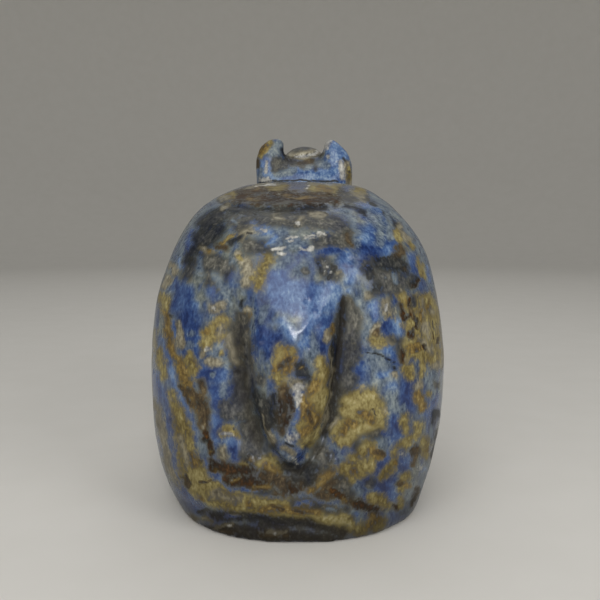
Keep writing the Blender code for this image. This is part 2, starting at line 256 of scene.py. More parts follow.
# Geometry Nodes tree: waves and ripples left by grinding, and small pits where soft grains fell out.
def handGroundTree():
    tree = bpy.data.node_groups.new("hand-ground skin", "GeometryNodeTree")
    face = tree.interface
    face.new_socket(name="Geometry", in_out="INPUT", socket_type="NodeSocketGeometry")
    face.new_socket(name="Geometry", in_out="OUTPUT", socket_type="NodeSocketGeometry")
    for name in stoneForm["ground"]:
        face.new_socket(name=name, in_out="INPUT", socket_type="NodeSocketFloat")
    face.new_socket(name="Material", in_out="INPUT", socket_type="NodeSocketMaterial")
    given = addNode(tree, "NodeGroupInput").outputs
    place = addNode(tree, "GeometryNodeInputPosition")
    inMm = addNode(tree, "ShaderNodeVectorMath", {0: place, "Scale": 1 / mm}, operation="SCALE")
    rise = 0.0
    for height, size in (("Wave Height", "Wave Size"), ("Ripple Height", "Ripple Size")):
        perMm = addNode(tree, "ShaderNodeMath", {0: 1.0, 1: given[size]}, operation="DIVIDE")
        bumps = addNode(tree, "ShaderNodeTexNoise", {"Vector": inMm, "Scale": perMm, "Detail": 1.0})
        full = addNode(tree, "ShaderNodeMapRange", {0: bumps, 3: -1.0, 4: 1.0})
        term = {0: full, 1: given[height], 2: rise}
        rise = addNode(tree, "ShaderNodeMath", term, operation="MULTIPLY_ADD")
    perMm = addNode(tree, "ShaderNodeMath", {0: 1.0, 1: given["Pit Size"]}, operation="DIVIDE")
    cells = addNode(tree, "ShaderNodeTexVoronoi", {"Vector": inMm, "Scale": perMm})
    lot = addNode(tree, "FunctionNodeSeparateColor", {0: cells.outputs["Color"]})
    isPit = addNode(tree, "ShaderNodeMath", {0: lot, 1: given["Pit Share"]}, operation="LESS_THAN")
    pitFloor, pitRim = stoneForm["pitWall"]
    wall = {0: cells.outputs["Distance"], 1: pitFloor, 2: pitRim, 3: given["Pit Depth"], 4: 0.0}
    bowl = addNode(tree, "ShaderNodeMapRange", wall, **eased)
    pit = addNode(tree, "ShaderNodeMath", {0: bowl, 1: isPit}, operation="MULTIPLY")
    rise = addNode(tree, "ShaderNodeMath", {0: rise, 1: pit}, operation="SUBTRACT")
    flatUp, roughUp = stoneForm["flatFoot"]
    up = addNode(tree, "ShaderNodeSeparateXYZ", {0: inMm}).outputs[2]
    offFoot = addNode(tree, "ShaderNodeMapRange", {0: up, 1: flatUp, 2: roughUp, 4: mm}, **eased)
    rise = addNode(tree, "ShaderNodeMath", {0: rise, 1: offFoot}, operation="MULTIPLY")
    way = addNode(tree, "GeometryNodeInputNormal")
    step = addNode(tree, "ShaderNodeVectorMath", {0: way, "Scale": rise}, operation="SCALE")
    moved = addNode(tree, "GeometryNodeSetPosition", {"Geometry": given["Geometry"], "Offset": step})
    real = addNode(tree, "GeometryNodeRealizeInstances", {0: moved})
    dressed = addNode(tree, "GeometryNodeSetMaterial", {0: real, "Material": given["Material"]})
    addNode(tree, "NodeGroupOutput", {0: dressed})
    return tree


def grindByHand(stone, material):
    tree = handGroundTree()
    grind = stone.modifiers.new("hand-ground skin", "NODES")
    grind.node_group = tree
    values = {**stoneForm["ground"], "Material": material}
    for item in tree.interface.items_tree:
        if item.in_out == "INPUT" and item.name in values:
            grind[item.identifier] = values[item.name]
    applyModifiers(stone)


carvedLines = {  # rise and width in mm, and the pixels of the photograph that the line runs through
    "facetGroove": (-0.42, 1, (216, 199), (228, 204.3), (245, 206.7), (262, 208.2), (280, 209),
        (300, 208.2), (320, 206.7), (336, 205)),
    "facetEnd": (-0.2, 0.8, (336, 205), (347, 205.6), (356, 207.6), (366, 213), (374, 221)),
    "facetLip": (0.34, 1.2, (222, 198.5), (235, 202.6), (255, 204.6), (280, 205.4), (300, 204.6),
        (320, 203), (338, 201)),
    "tailRight": (-0.34, 1, (343, 296), (341, 330), (337, 360), (332, 395), (327, 425), (320, 446),
        (309, 464), (299, 473)),
    "tailLeft": (-0.24, 1, (251, 298), (253, 330), (256, 360), (259, 390), (263, 415), (269, 438),
        (279, 457), (290, 470), (299, 473)),
    "tailLip": (0.24, 0.8, (257, 388), (260, 405), (265, 424), (271, 437), (280, 451), (291, 463),
        (299, 466), (308, 459)),
    "crestLeft": (0.2, 2.4, (275, 309), (282, 319), (288, 328), (294, 341)),
    "crestRight": (0.18, 1.7, (324, 306), (316, 315), (308, 324), (302, 332)),
    "tipCrease": (-0.28, 0.8, (284, 437), (290, 441), (297, 444.5), (306, 447), (313, 446)),
    "crack": (-0.08, 0.45, (350, 351), (370, 354), (378, 356), (388, 361), (402, 363), (413, 359)),
    "footLedge": (-0.22, 1.2, (199, 512), (215, 519), (240, 523), (270, 524), (300, 526), (325, 530),
        (347, 536)),
    "cornerEdge": (-0.18, 0.7, (380, 514), (394, 508), (404, 504), (414, 501)),
    "veinEdge": (-0.14, 1.1, (169, 330), (174, 352), (183, 372), (190, 392), (200, 408), (205, 430),
        (208, 452), (212, 466), (230, 476)),
    "chipAtRim": (-0.25, 1.2, (343, 190), (346, 192)),
    "scratchA": (-0.06, 0.4, (255, 238), (300, 226), (336, 221)),
    "scratchB": (-0.06, 0.4, (268, 252), (292, 246), (330, 240)),
    "scratchC": (-0.05, 0.4, (288, 233), (323, 243)),
    "scratchD": (-0.06, 0.4, (352, 300), (350, 345), (347, 380)),
}

reliefForms = {  # middle, half width and half height in pixels of the photograph, and rise in mm
    "tailRoot": (296, 333, 40, 43, 0.9),
    "flatOfBack": (297, 247, 108, 38, -0.25),
}

faceForms = {
    "middle": 1.7,  # mm, the head's middle across
    "begins": ((33, 35), (60, 62)),  # mm ahead and up over which the face comes in
    "eye": (40.0, 75.2),  # ahead and up
    "eyeSide": (4, 6),  # mm out over which the eye comes in
    "eyeRadius": 2.3,
    "eyeGroove": (0.42, 0.9),  # depth and width of the ring cut round the eye
    "eyeball": (0.35, 3.0),  # rise and width
    "mouth": ((53.5, 66.6), (50.0, 66.1), (46.5, 66.6), (44.5, 67.8)),
    "mouthGroove": (0.45, 0.9),
    "nostril": (2.0, 51.5, 70.6),  # out from the middle, ahead and up
    "nostrilPit": (0.5, 1.8),
}


# Eyes, mouth and nostrils, cut alike on both sides of the head.
def faceRise(points):
    form = faceForms
    out, ahead, up = np.abs(points[:, 0] - form["middle"]), points[:, 1], points[:, 2]
    fromEye = np.hypot(ahead - form["eye"][0], up - form["eye"][1])
    cut, width = form["eyeGroove"]
    rise = -cut * swell(fromEye - form["eyeRadius"], width)
    high, width = form["eyeball"]
    rise += high * swell(fromEye, width)
    rise *= smoothStep(*form["eyeSide"], out)
    cut, width = form["mouthGroove"]
    lips = insideStroke(ahead, up, [(y, z, 0.0) for y, z in form["mouth"]])
    rise -= cut * swell(lips, width)
    cut, width = form["nostrilPit"]
    side, front, level = form["nostril"]
    fromNostril = np.sqrt((out - side) ** 2 + (ahead - front) ** 2 + (up - level) ** 2)
    rise -= cut * swell(fromNostril, width)
    return rise * shareOfHead(points, form["begins"])


def carveFine(stone):
    mesh = stone.data
    points, normals = pointsOf(mesh), normalsOf(mesh)
    u, v = pixelOf(points)
    seen = smoothStep(*stoneForm["carvedFacing"], facing(points, normals)) * (points[:, 1] < 0)
    near = seen > 0
    u, v = u[near], v[near]
    rise = np.zeros(len(u))
    for x, y, halfWidth, halfHeight, height in reliefForms.values():
        rise += height * np.exp(-(((u - x) / halfWidth) ** 2) - ((v - y) / halfHeight) ** 2)
    for height, width, *path in carvedLines.values():
        distance = photoView["pixelSize"] * insideStroke(u, v, [(x, y, 0.0) for x, y in path])
        rise += height * swell(distance, width)
    relief = np.zeros(len(points))
    relief[near] = rise * seen[near]
    relief += faceRise(points)
    putPoints(mesh, points + normals * relief[:, None])


# Besides the stone's own minerals, some strokes of light, pale, tan and slate are painted highlights, glints
# and reflections, and some of dark and brown are painted shadows and shade; the comments over rumpPaint and
# headPaint name them.
minerals = ("blue", "deep", "light", "slate", "tan", "ochre", "gold", "brown", "grey", "dark", "rust", "pale")

# Where the minerals lie on the rump, drawn over the photograph as strokes laid one over another. A
# row names a mineral and gives the points of its strokes, with a comma between strokes: each point's place
# across, its place down and the half width there, in pixels.
# Painted glints: the pale spots at 230 527 and 276 533 on the foot's ledge.
# Painted highlight: the light and pale strokes about 257 to 269 across, 230 down, paint a bright spot of
# sheen on the upper rump.
# Painted highlight: the light row beginning 284 292 paints the sheen on the tail's top and the arms of its
# V-shaped glint, over the small lamp's real glint on the crest.
# Painted highlight: the light rows at 306 330 and 312 316 add to the same glint on the crest's right arm.
# Painted highlight: the tan and pale rows along the strip's top edge, near 183 to 185 down, paint the rim's
# edge highlight, and the pale spots at 341 191 and 353 194 are painted glints.
# Painted reflection, in part: the first two slate rows run along both shoulders' outlines and paint a pale
# rim sheen over the stone's own grey-blue.
# Painted shade, in part: the dark rows along 511 to 540 down darken the foot and the band under its ledge,
# over the stone's own dark and brown.
# Painted shade: the dark row from 287 442 to 297 445 darkens the crease above the tail's tip.
# Painted shade: the dark row from 341 302 to 326 432 darkens the groove along the tail's right edge.
# Painted shadow: the dark row along 208 to 214 down under the strip, and the dark row from 344 207 to 366
# 213, paint the shadow below the strip's lip.
# Painted shadow: the dark rows at 290 468 and 285 466 paint the shadow under the tail's tip.
rumpPaint = """
slate 224 198 5 205 212 5 195 224 5 186 240 5 178 256 5 170 272 5 163 290 5
slate 372 196 5 390 210 5 404 224 5 416 242 5 425 262 5 431 282 5
brown 238 195 7 262 195 9 290 196 9 318 198 7 336 197 5
rust 240 197 3.4 262 195 4.4 290 199 5 318 200 3.6 334 198 2.6
tan 221 196 4 228 195 4
ochre 231 192 3.6 235 196 3.2
rust 238 197 1.6
gold 249 198 4 256 200 3 262 192 3
brown 246 192 3 254 194 3
gold 258 188 3
tan 268 187 3.4
grey 258 194 3 266 193 2.4
ochre 270 188 3.4 278 188 4.6 284 187 3.6 280 192 3
dark 272 195 2.4 276 197 1.8
gold 285 196 2 296 199 3 308 197 3 318 197 2
blue 292 187 4.4 302 187 4.4
deep 293 187 3 302 187 3.6
pale 307 186 0.9
ochre 313 188 4.4 325 189 6.4 335 190 6
brown 310 194 1.6 318 194 1.6 326 197 2
gold 318 187 2 330 192 2.4
brown 336 197 1.4
grey 268 203 2.4 285 203.6 2.4 300 203 2
tan 246 188.4 0.9 262 185.4 1.3 286 183.8 1.2, 262 185 1.6 276 184 1.5 286 183.6 1
pale 255 186.4 0.6 266 184.4 0.9 276 183.8 0.8
tan 309 183.6 1 322 183.8 1.4 332 184.2 1.4 338 185 1
pale 322 183.4 0.6 332 183.8 0.7
grey 343 192 4 348 197 4.6
pale 341 191 0.8, 353 194 0.8
dark 205 226 9 215 217 8 228 211 6, 200 240 8 212 236 9 219 228 7, 195 250 5
dark 232 209 3 245 210 3.4 262 211 3.4 280 211 3 300 210 2.6 325 208 2.2, 247 214 4.4 256 214 3
tan 222 209 3 227 204 2.6
grey 232 218 6 240 228 5 250 217 5
slate 232 219 2 237 223 2
grey 262 219 7 285 219 8 310 219 8 335 223 8 346 233 8
tan 276 216 3 283 218 2.4, 298 221 3 304 216 2.4, 312 213 2.6 322 214 2.6, 240 233 4 250 231 3 258 230 3
tan 243 238 3
slate 262 238 5 273 236 6 285 230 5
light 257 230 4.6 263 231 5 269 232 4.4
pale 260 230 1 266 231 1
gold 221 244.6 1.3 228 239 1.3 234 234 1
ochre 225 241 0.9 232 236 0.8
dark 232 242 3 240 237 2.6, 248 234 1 253 234.6 1
tan 204 248 3 211 254 3
gold 209 250 2.4
brown 217 247 2 226 247 2.4
grey 250 246 7 264 248 6 274 254 4, 205 262 9 222 268 11 212 282 9
slate 197 262 5 199 270 4, 216 276 5 222 291 5 229 301 5
blue 211 291 5
slate 232 262 4
grey 190 262 5 187 275 5
dark 191 252 4 187 262 3
blue 191 232 3 189 248 3
deep 189 249 2.6
light 178 258 2.4 180 268 2.4
tan 172 266 3 174 271 3, 163 286 3 168 278 3
blue 175 279 3 172 289 3, 183 293 10 178 306 7
deep 180 292 5 176 301 5
tan 246 262 5 250 274 6 246 283 4
slate 243 291 3
tan 238 254 3 240 262 2.6
ochre 239 258 2.2
blue 275 275 10 283 295 16 305 300 18 330 300 12 335 290 9
slate 275 257 5 264 270 3 286 260 5
light 284 292 4, 283 322 5 291 336 5, 301 343 4, 309 326 4 318 314 4, 318 305 5 328 296 4 340 291 3
ochre 268 259 5 264 267 4.4 261 277 4.4 258 285 4, 253 278 2.6
slate 290 243 4 302 243 3
pale 287 239 1 292 237 1.1 297 238 0.9, 289 242 0.8 295 241 0.8, 273 250 1.2 279 247 1.2 285 246 1
pale 277 252 1.2 285 252 1.2
light 268 244 3 275 237 3
pale 300 249 1 306 250 1.6 312 249 1.4, 306 237 1.1 313 235 1.2 320 235 1.2 325 238 1
pale 310 239 0.8 317 238 0.8, 296 221 0.8 300 224 0.8
grey 318 243 6 335 240 6 345 244 5
brown 348 236 4 350 244 4
blue 322 252 5 334 251 5
deep 322 252 4 330 250 4 338 251 3
slate 298 272 4 306 268 4
grey 305 272 3, 322 262 7 328 270 8 335 276 5
dark 319 264 2.2 322 271 2.2, 330 278 2.2 334 268 2
pale 323 264 0.8, 327 262 0.9, 329 267 1, 326 270 0.7, 332 272 0.8
tan 337 272 1.8
deep 322 284 2.6
blue 345 256 7 346 268 8
deep 345 268 4
light 350 281 5 354 272 3, 349 291 3
grey 352 201 4 345 199 4
blue 365 205 7 378 218 10 372 240 12 388 245 10 391 231 6
light 372 209 3.6 380 215 3.6 388 223 3
slate 370 214 4 382 228 5 380 244 4, 345 212 4 352 222 4 356 232 3 358 246 3
deep 366 250 6 373 253 5
light 361 236 3 368 240 3, 385 252 5
dark 344 207 1.6 356 209 1.6 366 213 1.8
gold 351 245 2
tan 355 193 4 362 197 4
ochre 357 190 2.2 364 191 2.2
grey 366 198 3
dark 371 203 2.4 376 206 2.2, 384 214 2 390 221 2.4 394 226 2
tan 398 227 3 403 234 3 410 241 2.6
ochre 397 232 2.4 400 240 2.4
brown 400 247 3 403 253 3 398 256 3
ochre 410 243 2.2 413 247 2.2
slate 392 238 3 386 212 3
blue 412 258 4 416 269 4
deep 414 266 2
ochre 418 257 1.6 421 267 1.6 424 276 1.8
light 427 268 2 431 282 2
grey 368 268 9 385 268 11 402 270 8 380 284 10 398 284 9
dark 380 262 6 392 264 7 403 267 6, 368 268 3 370 277 3, 376 289 5
grey 412 277 5 408 285 4
dark 416 278 2.2 412 284 2
grey 375 295 6 390 295 5
slate 395 275 2 398 283 2, 386 278 1.6
brown 404 268 3
slate 362 300 7 372 306 7 385 300 6 380 318 7
tan 368 296 3.4, 386 303 4.4 388 312 4.4
pale 387 306 1.4 388 311 1.4
ochre 390 319 3
light 373 308 6 375 319 4
tan 348 304 3.6
grey 352 314 8 353 332 9 352 350 9 350 366 9 346 383 8
tan 350 343 4
slate 366 318 3.4 368 330 3.4 366 345 3.4
grey 348 306 6 349 340 7 347 380 7 342 412 6, 341 318 5 340 345 6 337 375 7 333 400 7
dark 341 302 2 342 312 3 340 330 3.4 337 350 4 335 372 4.4 333 395 4.4 330 415 4 326 432 4
tan 375 330 3 378 326 2.6
brown 378 333 2.6
ochre 375 341 5 382 343 4
blue 391 325 9 398 331 7
deep 387 327 3.4
light 397 322 4 400 334 2.6
deep 384 331 3 388 337 3
tan 391 341 3
grey 392 338 3 400 341 4 399 350 5
brown 401 352 3 402 359 3
blue 384 350 6 390 354 4
light 388 351 4.4
slate 372 363 9 385 369 9 378 382 7
light 393 372 4 378 377 4
blue 362 365 5 358 373 5 366 369 4
slate 369 355 4 363 356 3
blue 392 386 5 388 391 4
dark 394 368 2.4
tan 394 374 2.4
dark 365 353 0.8 375 356 0.9 385 359 0.9 393 361 0.8
blue 406 388 9 408 402 9
deep 407 383 4 410 380 4 404 398 5 410 408 6
slate 389 398 6 392 410 5, 403 408 3.4
ochre 412 304 8 425 303 9 432 318 10 415 325 10 428 338 12 415 350 10 432 355 9 408 345 6
ochre 406 367 4 409 374 4
gold 410 347 3 418 344 2.4, 404 303 3
ochre 401 295 3 403 306 3
brown 407 298 0.8 407.5 305 0.9, 409 304 1.4 412 313 1.8 415 322 1.2, 413 310 1.1 415 317 1
tan 421 300 3 424 316 3.4, 433 312 4, 418 336 2.4 430 349 4, 425 326 5 428 338 4
brown 402 314 1.6 404 319 1.4
tan 405 325 3
gold 422 311 1 422 321 1, 429 301 1 428 309 1
brown 411 335 1.6 412 329 1.6, 400 306 2.4 402 313 2.2, 418 319 1 417 328 1.2, 433 320 0.7 433 326 0.7
brown 438 337 0.7 437 344 0.7
grey 412 296 2.4 413 304 2.4
tan 441 308 2.4 443 330 2.4 443 350 2.4 442 366 2.4, 405 357 3.4
ochre 408 352 4 418 354 3
gold 411 351 2 424 348 2.2
rust 402 312 1.5 404 319 1.7 411 314 1, 416 320 1 415.4 327 1.1, 411 333 1.3, 425 345 1 426 349 1.1
rust 433.5 330 0.7 434.4 341 0.8, 418 280 1.8 415 285 1.6, 402 352 1.5 402.5 358 1.3
rust 408.6 296 0.9 407.4 304 1, 416 445 1.6 413 455 1.8 411 462 1.4
slate 415 362 3 417 373 3
ochre 421 361 4 421 373 4
slate 427 365 3 426 379 4
tan 436 366 4
slate 434 376 4 430 388 4 436 393 4
ochre 430 394 3
slate 428 401 2.4
gold 420 400 4 423 406 4 418 394 3
tan 418 386 4
blue 432 404 4 437 397 3 427 413 4
deep 434 402 1.8
grey 438 385 3
ochre 357 396 7 345 401 6 372 398 8 380 403 4, 350 411 12 368 411 13 380 416 5
ochre 345 428 9 362 426 9 378 424 6 336 430 6, 352 438 7 340 440 6
tan 360 389 3
gold 362 414 4 370 420 4
brown 372 408 1 376 414 0.8
gold 354 425 2 348 420 2 344 431 3
tan 330 428 3.4 336 420 3, 384 408 2 385 413 2
grey 378 434 5 369 437 4 358 446 5
slate 384 441 5 372 444 5 362 440 3
blue 393 419 6 397 430 7 391 441 4
deep 382 432 3 390 436 3, 396 428 4
slate 388 414 3
ochre 403 447 6 397 452 5 410 440 5, 406 429 4 405 417 2.6, 417 425 3 417 432 3 413 438 4
slate 414 443 3 415 449 2.6
brown 416 451 3 414 458 3 413 464 2.6
ochre 426 440 3.6 424 450 4 426 457 3
gold 426 450 2
dark 437 413 3 433 425 2.2, 437 430 1.6 434 445 1.6 432 458 1.4
slate 433 425 2 431 440 1.8, 430 462 3 426 478 4 420 490 4
light 425 470 2.4
pale 421 468 1.8
blue 400 452 4 405 468 5 410 460 4
deep 403 470 3
pale 403 455 1.2
blue 388 455 5 384 465 5 380 473 4
deep 382 462 3 375 472 3
ochre 395 462 2.6 391 468 3 386 474 3.4 381 478 3
gold 396 463 2
deep 393 478 3
ochre 368 446 6 362 455 7 352 458 5, 345 470 8 360 470 7 370 465 5 375 459 3, 352 478 4
tan 360 458 3
gold 372 450 3.6 378 458 2.6
brown 382 454 2.4 376 452 2
gold 353 471 3
brown 348 463 0.7 358 463 0.7
blue 340 453 4
grey 331 456 4
deep 338 454 3
slate 335 445 3 341 460 3
grey 322 452 8 326 465 7 318 471 6
dark 328 458 3
tan 331 466 3
brown 331 466 1.2
gold 318 477 4 328 473 5 322 483 4
grey 340 482 6 350 490 6
slate 357 485 5 362 492 4
grey 370 482 5
deep 367 478 3
blue 388 487 8 392 497 6 380 492 4
deep 382 484 3 386 492 3
ochre 404 478 3.6 409 476 2.6, 402 490 3
gold 405 485 3
brown 400 483 2
slate 413 490 4 408 500 4
brown 416 488 2.2 414 498 2.2 411 505 2
gold 417 494 1.6
ochre 159 352 3 162 366 3.4 164 376 3
tan 155 330 2 155 345 2
blue 155 373 2.6 158 385 3 162 392 5 166 399 4
deep 164 391 3
tan 154 400 2 158 415 2.6 162 430 2.6 165 448 2.6 168 462 2.6 172 474 2.6 178 485 2.6
blue 168 412 4 168 425 4 173 438 4 175 452 4 176 465 3.6 178 473 3
deep 170 418 2.6
blue 157 440 2.4 161 455 2
ochre 163 298 4 165 308 3.4
gold 166 314 2.6 168 330 2.6 171 345 3 174 356 3
dark 170 316 1.6
tan 177 324 2.6 181 344 3
light 173 322 1.6 175 336 1.6
blue 164 338 2.6 167 357 3 171 372 3.6 175 385 3.4 182 400 3.6 189 415 3 192 428 3.4 195 440 3
light 170 368 2 178 391 2 193 430 2
blue 190 306 8 192 335 8 192 350 6
deep 186 318 7 192 326 6
slate 191 335 3
light 197 304 2.6
slate 188 346 4
tan 214 308 4 222 306 4
pale 214 307 1.8
slate 212 316 4
ochre 222 322 7 214 330 8 208 333 6 222 334 5
tan 222 328 5 218 336 3
ochre 208 344 5 213 340 4
gold 206 332 3
pale 209 349 1.8
slate 218 345 5 212 355 5 223 356 4
ochre 222 352 2.6
tan 203 353 2.8, 210 362 4 218 361 3
slate 226 366 3
blue 205 372 8 220 375 9
deep 206 376 5 216 372 4
slate 212 375 2.6
blue 214 391 7 217 404 5
deep 214 391 5 217 403 4
slate 200 386 4
ochre 182 363 6 190 371 5, 188 358 4 193 367 4, 185 384 5
gold 178 360 3 183 370 4 186 381 4.4 191 395 4.4 195 405 4
brown 189 392 3 199 396 3, 179 386 1.4 186 396 1.8 192 405 2.2, 201 382 2.6 202 391 3
tan 196 381 2
slate 225 392 4
brown 199 401 5 204 415 5 203 426 4
tan 202 427 2.4
rust 205 433 3 208 442 2.6 211 452 2.6
gold 209 450 2.4
dark 205 439 2.8
brown 211 461 3 214 468 3
slate 200 445 3 203 455 3
dark 199 461 2
light 206 465 2.6 210 472 2
ochre 172 395 2.6 175 405 4 180 416 6 183 430 7 185 445 8 188 460 10 193 472 11 203 485 11 218 495 10
ochre 218 495 10 235 503 9 255 505 8 275 507 8 298 510 8 320 514 8 338 520 8 352 525 6 362 529 5
gold 193 455 3 195 464 3
tan 186 452 4 185 468 4, 179 438 5 184 450 5 185 462 4, 171 400 3
brown 184 476 1.4 190 486 1.4, 200 484 1 212 480 1.2
gold 203 498 2.4
tan 240 500 4 229 499 4 215 493 5
gold 250 504 3, 262 509 3 290 508 3 318 512 3
brown 272 506 1.2 282 509 1.4, 296 508 1.2 304 511 1
blue 206 466 3 212 474 3 219 480 4 232 489 4
light 218 480 2.4 231 490 2.4
grey 245 488 3.6 262 491 3.6 271 490 3
blue 243 489 2.4 258 491 2.4
grey 294 502 3 308 504 3.4 322 507 3.4 338 511 3
blue 298 503 2.4 312 505 2.4
slate 327 508 1.6 336 511 1.6
grey 252 440 9 250 425 9 256 455 5
dark 250 456 3 252 464 3
ochre 248 466 3 242 463 3, 260 464 6 268 462 6 276 466 5
gold 266 467 4 275 471 4
dark 290 468 7 300 472 8 310 476 7 298 480 6
rust 214 466 4 225 468 5 238 470 5 250 472 4.4, 226 480 4 240 480 4.4 252 481 4.4 262 484 4
gold 216 470 2.6, 240 478 2.2 232 480 2.2
tan 233 479 1.4
grey 236 474 2.4
brown 262 475 4 275 480 5 288 484 5
gold 256 486 3 268 486 3
brown 285 491 4.4 297 488 4.4 301 482 3
rust 294 491 4
brown 275 492 3
gold 309 490 4 315 486 3
brown 335 482 4 326 490 5, 316 494 2.6 328 496 3 340 495 4 350 500 4.4 360 504 4
rust 334 492 2.6 342 497 2.6, 358 504 3.4 368 508 4.4 374 512 4
gold 346 500 2, 343 499 3.4
slate 354 512 5 358 519 5
light 356 515 2.6
grey 346 509 3
ochre 374 500 4 384 500 3.6 388 506 3
tan 382 507 3
gold 372 515 4 378 520 4 370 526 4
ochre 383 521 4 376 528 4
rust 376 508 3
ochre 402 500 2.6 398 506 2.6
rust 395 508 2.6
blue 392 520 7 405 514 6 398 518 6
slate 408 508 3 402 513 3
deep 395 518 4
ochre 228 432 5 235 434 3.6
pale 224 433 1.4 231 436 1.4
dark 235 430 1.2
blue 231 445 9 236 455 8, 217 423 6 216 436 6
deep 218 429 3.6, 234 452 4
grey 246 449 5 245 457 4
gold 253 459 3
light 214 419 4, 228 440 3
slate 220 449 5 225 457 4
tan 221 450 3.4 224 458 3
grey 236 330 8 238 350 9 240 370 9 242 390 10 240 408 12
tan 230 335 3.6 233 350 3.4 236 362 3
gold 246 317 3.4 247 328 3
tan 248 310 2.6
slate 252 312 3 251 331 3
deep 256 322 3
dark 243 301 1.8 243 307 1.4
brown 245 345 4 247 365 4
dark 248 385 4 247 372 3
tan 253 360 2.8, 241 362 1.6 246 357 1.6
grey 225 405 6 229 415 8, 260 380 6, 242 318 5 246 350 6 250 384 7
dark 258 395 5 262 410 6 266 425 5
blue 262 335 8 270 345 9
deep 262 342 6 272 338 5 279 340 4, 266 350 4
slate 265 305 4 262 320 4, 312 338 5 312 355 6
light 306 330 4 305 345 4
blue 325 318 6 323 335 6
light 312 316 4 305 330 4
deep 325 340 3.4 323 350 3
tan 328 341 2.6 330 331 2
gold 333 325 2 331 335 2, 285 358 10 283 368 9
ochre 280 351 5 276 360 4, 290 352 4
brown 288 359 2.4 281 367 2.6
gold 286 364 2
ochre 279 378 6 280 385 4
gold 275 371 3
tan 280 388 2
dark 300 365 4 302 372 4 308 377 4 298 374 3
gold 301 367 1.6
grey 304 381 5
slate 305 384 3.4
grey 274 398 5 270 412 6 276 424 6
dark 266 404 3.4 270 420 4.4, 274 394 2 275 402 2
brown 276 412 3 279 424 3, 284 392 5 283 408 6 284 422 5
rust 288 396 2.6 289 406 3 290 416 2.6 286 426 2.2, 280 400 1.6 279 412 1.6
brown 281 431 3
gold 290 412 2
ochre 321 362 5 325 372 6 320 382 7, 322 392 8 317 402 10, 305 425 7 312 430 8 308 440 6
gold 318 382 4 313 390 6, 308 412 8 314 418 7 304 402 5
ochre 318 408 5
brown 309 413 2 312 421 1.6 306 409 1.6
gold 304 432 4 314 424 3
tan 332 350 1.2 331 380 1.7 330 395 1.8 327 412 1.8 322 432 1.6
slate 297 402 2.8 296 415 3 295 430 3
light 297 404 3.4 296 424 3.2
tan 291 384 3 300 383 4 307 386 2.6
pale 294 386 2 301 386 2.6, 298 390 3.2 297 400 2.4, 297 402 1.2 296.5 412 0.8, 290 437 2.6 298 436 2
dark 287 442 1.4 297 445 1.4
grey 275 446 4
tan 286 448 3 292 452 3
blue 300 455 5
deep 301 456 3
pale 291 459 2 297 462 2
tan 308 456 1.4
slate 283 452 2.6 287 458 2.6
tan 262 412 1.6 266 425 1.8 269 434 1.8 274 442 2
slate 278 448 2 284 455 2.4 292 461 2.4 300 462 2
dark 285 466 5 300 470 6 312 466 5
blue 178 485 3 184 494 5 192 502 7 199 509 6
deep 180 487 2.6 185 496 4 196 506 5
dark 201 511 2.4, 205 528 3 225 531 5 250 533 6 280 535 6 310 538 5 340 540 4
brown 214 531 3 232 534 3, 262 534 3 290 536 3
dark 212 516 4 232 517 4 250 517 4.4 268 520 4 290 521 4.4 310 524 4.4 328 529 4 345 533 3.6
deep 228 517 3 236 516 3
grey 206 511 3
tan 203 518 1.6 211 522 1.6, 188 514 2 196 521 2, 216 527 2 232 527 2
pale 230 527 1.2
dark 262 524 4 285 527 4
tan 268 532 2.6 280 533 2.6 288 532 2
pale 276 533 1.2
dark 240 538 4
deep 362 536 3
"""

# The same for the back of the head and the ears.
# Painted highlight, in part: the first light row paints a sheen on the nape and the right ear over their own
# pale blue.
# Painted highlight: the light and pale rows from 267 160 to 265 176 paint the left ear's bright vertical
# streak, with a pale touch at its foot.
# Painted highlight: the light and pale rows from 340 161 to 341 181 paint the right ear's bright vertical
# streak.
# Painted highlight: the tan and pale rows along 290 155 to 320 149 paint the smile-shaped highlight across
# the forelock.
# Painted shade: the dark rows at 282 149 and 343 158 darken the hollow inside the left ear and the right
# ear's notch, and the brown row at 298 163.5 paints the shade under the forelock.
# Painted shadow: the last dark row paints the shadow line where the head meets the strip.
headPaint = """
light 260 172 12 300 173 12 342 172 12, 336 148 12 340 165 12
blue 284 177 3 298 175 4 306 173 4
slate 266 152 5 276 148 6 281 141 4, 292 169 5 276 174 3, 262 172 4 261 180 4, 305 165 4 318 163 4 328 165 3
ochre 269 141 4 264 146 4.6 259 154 4.6
gold 266 145 2.2 261 152 2.2
brown 257 162 2 257 167 1.6
grey 277 163 6 275 169 4 285 163 5, 292 162 4 301 165 3.4
light 267 160 2.6 265 176 3
pale 267.5 161 1.2 266 172 1.3, 261 181 2 268 180 1.6
dark 282 149 2 284 155 1.6, 288 150 1.6 291 158 2
blue 340 151 3
pale 326 142 2.6 331 139 2.4 325 147 2.2, 328 157 1.7
light 340 161 4 341 171 5 341 181 4
pale 340.5 162 1.6 341.5 171 2.2 341.5 179 1.8
grey 316 168 2.4
dark 343 158 1.2 346 162 1
tan 347 164 3 348.5 176 3.4 350 183 3
ochre 348 168 1.8 349 178 2
brown 349 172 1.2
grey 290 150 6 304 149 7 318 151 5
tan 290 155 3 304 155 5 318 152 3
brown 298 163.5 2.2 312 161.5 2.2
tan 290 155.4 1.6 302 157 1.8 313 154.5 1.7 320.5 149 1.3
pale 296 156 1 304 156.6 1.2 314 154 1 320 150 0.7
dark 258 183 0.8 275 181.2 0.9 300 180.6 0.9 325 181.2 0.9 338 182.4 0.9
"""

